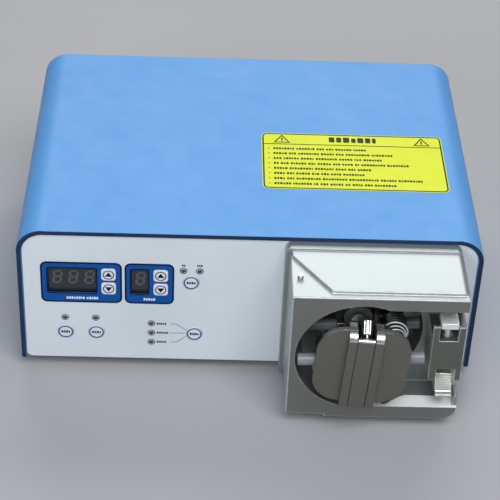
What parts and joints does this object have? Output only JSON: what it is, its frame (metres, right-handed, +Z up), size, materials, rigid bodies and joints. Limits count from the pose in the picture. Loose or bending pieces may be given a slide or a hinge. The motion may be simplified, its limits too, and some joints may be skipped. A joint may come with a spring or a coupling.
{
  "type": "peristaltic pump",
  "caption": "Bench-top peristaltic dosing pump: blue sheet-metal drive case, keypad and displays, cast head with a two-roller rotor, sprung tube clamps and a fold-out crank.",
  "frame": {"origin": "on the bench surface under the middle of the whole object, at the bottom of the rubber feet", "axes": "+X to the right seen from the front, +Y from the front panel towards the rear, +Z up"},
  "size_m": [0.29, 0.28, 0.1102],
  "materials": {
    "cover_paint": "fine-textured powder coat",
    "panel_paint": "satin pale grey-blue",
    "overlay_blue": "printed polyester film",
    "window_smoke": "smoked display filter",
    "display_grey": "unlit segment display",
    "lamp_lens": "clear lamp lens",
    "key_white": "white printed key cap",
    "circuit_board": "solder resist",
    "zinc_sheet": "zinc-plated steel sheet",
    "screw_steel": "blackened steel",
    "rubber": "moulded rubber",
    "brass": "turned brass",
    "motor_black": "black enamel",
    "machined_steel": "ground steel",
    "black_plastic": "moulded black plastic",
    "bright_wire": "plated wire",
    "rocker_red": "red moulded plastic",
    "label_yellow": "laminated label",
    "cast_aluminium": "satin sprayed casting",
    "clamp_aluminium": "satin casting",
    "clamp_pad": "satin casting",
    "spring_steel": "drawn spring wire",
    "rotor_aluminium": "fine-blasted casting",
    "arm_aluminium": "machined casting",
    "bright_nickel": "nickel plate",
    "roller_nylon": "dark glass-filled nylon",
    "guide_roller_grey": "grey acetal"
  },
  "bodies": {
    "case": {"base_plate": "zinc_sheet", "cover": "cover_paint", "cover_screws": "screw_steel", "rubber_feet": "rubber", "front_panel": "panel_paint", "panel_overlay": "overlay_blue", "display_windows": "window_smoke", "digit_displays": "display_grey", "indicator_lights": "lamp_lens", "display_board": "circuit_board", "rear_panel": "panel_paint", "control_board": "circuit_board", "board_standoffs": "brass", "power_supply": "zinc_sheet", "motor_body": "motor_black", "motor_bracket": "zinc_sheet", "drive_bearing": "machined_steel", "mains_inlet": "black_plastic", "fan_frame": "black_plastic", "fan_guard": "bright_wire", "footswitch_socket": "black_plastic", "top_label": "label_yellow", "pump_housing": "cast_aluminium", "housing_screws": "screw_steel", "guard_stubs": "machined_steel", "clamp_carrier": "clamp_aluminium", "upper_clamp_spring": "spring_steel", "lower_clamp_spring": "spring_steel"},
    "rotor": {"drive_shaft": "machined_steel", "rotor_hub": "rotor_aluminium", "rotor_front_plate": "rotor_aluminium", "rotor_rear_plate": "rotor_aluminium", "arm_pivots": "machined_steel", "guide_pins": "machined_steel", "arm_springs": "spring_steel", "crank_pin": "machined_steel", "detent_body": "bright_nickel"},
    "crank": {"crank_bar": "rotor_aluminium"},
    "detent": {"detent_nose": "bright_nickel"},
    "arm_a": {"roller_arm_a": "arm_aluminium"},
    "arm_b": {"roller_arm_b": "arm_aluminium"},
    "squeeze_roller_a": {"main_roller_a": "roller_nylon"},
    "squeeze_roller_b": {"main_roller_b": "roller_nylon"},
    "guide_front_left": {"guide_roller_front_left": "guide_roller_grey"},
    "guide_front_right": {"guide_roller_front_right": "guide_roller_grey"},
    "guide_rear_left": {"guide_roller_rear_left": "guide_roller_grey"},
    "guide_rear_right": {"guide_roller_rear_right": "guide_roller_grey"},
    "clamp_top": {"upper_clamp": "clamp_pad"},
    "clamp_bottom": {"lower_clamp": "clamp_pad"},
    "power_rocker": {"rocker_switch": "rocker_red"},
    "fuse_holder": {"fuse_drawer": "black_plastic"},
    "fan": {"fan_blades": "black_plastic"},
    "angle_up_button": {"angle_up_key": "key_white"},
    "angle_down_button": {"angle_down_key": "key_white"},
    "speed_up_button": {"speed_up_key": "key_white"},
    "speed_down_button": {"speed_down_key": "key_white"},
    "shot_button": {"shot_key": "key_white"},
    "program_button": {"program_key": "key_white"},
    "direction_button": {"direction_key": "key_white"},
    "mode_button": {"mode_key": "key_white"}
  },
  "joints": [
    {"name": "rotor_spin", "type": "hinge", "parent": "case", "child": "rotor", "pos_m": [0.068, -0.078, 0.0567], "axis": [0, 1, 0], "continuous": true},
    {"name": "arm_a_swing", "type": "hinge", "parent": "rotor", "child": "arm_a", "pos_m": [0.08794, -0.111, 0.07151], "axis": [0, 1, 0], "range_deg": [-4, 0], "stiffness_Nm_per_rad": 0.5, "springref_deg": 20.05},
    {"name": "squeeze_roller_a_spin", "type": "hinge", "parent": "arm_a", "child": "squeeze_roller_a", "pos_m": [0.06468, -0.111, 0.08425], "axis": [0, 1, 0], "continuous": true},
    {"name": "arm_b_swing", "type": "hinge", "parent": "rotor", "child": "arm_b", "pos_m": [0.04806, -0.111, 0.04189], "axis": [0, 1, 0], "range_deg": [-4, 0], "stiffness_Nm_per_rad": 0.5, "springref_deg": 20.05},
    {"name": "squeeze_roller_b_spin", "type": "hinge", "parent": "arm_b", "child": "squeeze_roller_b", "pos_m": [0.07132, -0.111, 0.02915], "axis": [0, 1, 0], "continuous": true},
    {"name": "guide_front_left_spin", "type": "hinge", "parent": "rotor", "child": "guide_front_left", "pos_m": [0.04203, -0.128, 0.05543], "axis": [-0.9988, 0, -0.0488], "continuous": true},
    {"name": "guide_front_right_spin", "type": "hinge", "parent": "rotor", "child": "guide_front_right", "pos_m": [0.09397, -0.128, 0.05797], "axis": [0.9988, 0, 0.0488], "continuous": true},
    {"name": "guide_rear_left_spin", "type": "hinge", "parent": "rotor", "child": "guide_rear_left", "pos_m": [0.04203, -0.095, 0.05543], "axis": [-0.9988, 0, -0.0488], "continuous": true},
    {"name": "guide_rear_right_spin", "type": "hinge", "parent": "rotor", "child": "guide_rear_right", "pos_m": [0.09397, -0.095, 0.05797], "axis": [0.9988, 0, 0.0488], "continuous": true},
    {"name": "crank_fold", "type": "hinge", "parent": "rotor", "child": "crank", "pos_m": [0.06932, -0.138, 0.07826], "axis": [-0.9981, 0, 0.061], "range_deg": [0, 90]},
    {"name": "detent_press", "type": "slide", "parent": "rotor", "child": "detent", "axis": [0.0408, 0.7431, 0.6679], "range_m": [0, 0.0008], "stiffness_N_per_m": 300, "springref_m": -0.002},
    {"name": "clamp_top_slide", "type": "slide", "parent": "case", "child": "clamp_top", "axis": [0, 0, 1], "range_m": [-0.006, 0], "stiffness_N_per_m": 400, "springref_m": 0.006, "deforming": ["upper_clamp_spring"]},
    {"name": "clamp_bottom_slide", "type": "slide", "parent": "case", "child": "clamp_bottom", "axis": [0, 0, 1], "range_m": [0, 0.006], "stiffness_N_per_m": 400, "springref_m": -0.006, "deforming": ["lower_clamp_spring"]},
    {"name": "angle_up_press", "type": "slide", "parent": "case", "child": "angle_up_button", "axis": [0, 1, 0], "range_m": [0, 0.0006], "stiffness_N_per_m": 500, "springref_m": -0.001},
    {"name": "angle_down_press", "type": "slide", "parent": "case", "child": "angle_down_button", "axis": [0, 1, 0], "range_m": [0, 0.0006], "stiffness_N_per_m": 500, "springref_m": -0.001},
    {"name": "speed_up_press", "type": "slide", "parent": "case", "child": "speed_up_button", "axis": [0, 1, 0], "range_m": [0, 0.0006], "stiffness_N_per_m": 500, "springref_m": -0.001},
    {"name": "speed_down_press", "type": "slide", "parent": "case", "child": "speed_down_button", "axis": [0, 1, 0], "range_m": [0, 0.0006], "stiffness_N_per_m": 500, "springref_m": -0.001},
    {"name": "shot_press", "type": "slide", "parent": "case", "child": "shot_button", "axis": [0, 1, 0], "range_m": [0, 0.0006], "stiffness_N_per_m": 500, "springref_m": -0.001},
    {"name": "program_press", "type": "slide", "parent": "case", "child": "program_button", "axis": [0, 1, 0], "range_m": [0, 0.0006], "stiffness_N_per_m": 500, "springref_m": -0.001},
    {"name": "direction_press", "type": "slide", "parent": "case", "child": "direction_button", "axis": [0, 1, 0], "range_m": [0, 0.0006], "stiffness_N_per_m": 500, "springref_m": -0.001},
    {"name": "mode_press", "type": "slide", "parent": "case", "child": "mode_button", "axis": [0, 1, 0], "range_m": [0, 0.0006], "stiffness_N_per_m": 500, "springref_m": -0.001},
    {"name": "power_rocker_tilt", "type": "hinge", "parent": "case", "child": "power_rocker", "pos_m": [-0.075, 0.128, 0.048], "axis": [1, 0, 0], "range_deg": [0, 12]},
    {"name": "fuse_pull", "type": "slide", "parent": "case", "child": "fuse_holder", "axis": [0, 1, 0], "range_m": [0, 0.018]},
    {"name": "fan_spin", "type": "hinge", "parent": "case", "child": "fan", "pos_m": [0.08, 0.123, 0.059], "axis": [0, 1, 0], "continuous": true}
  ]
}
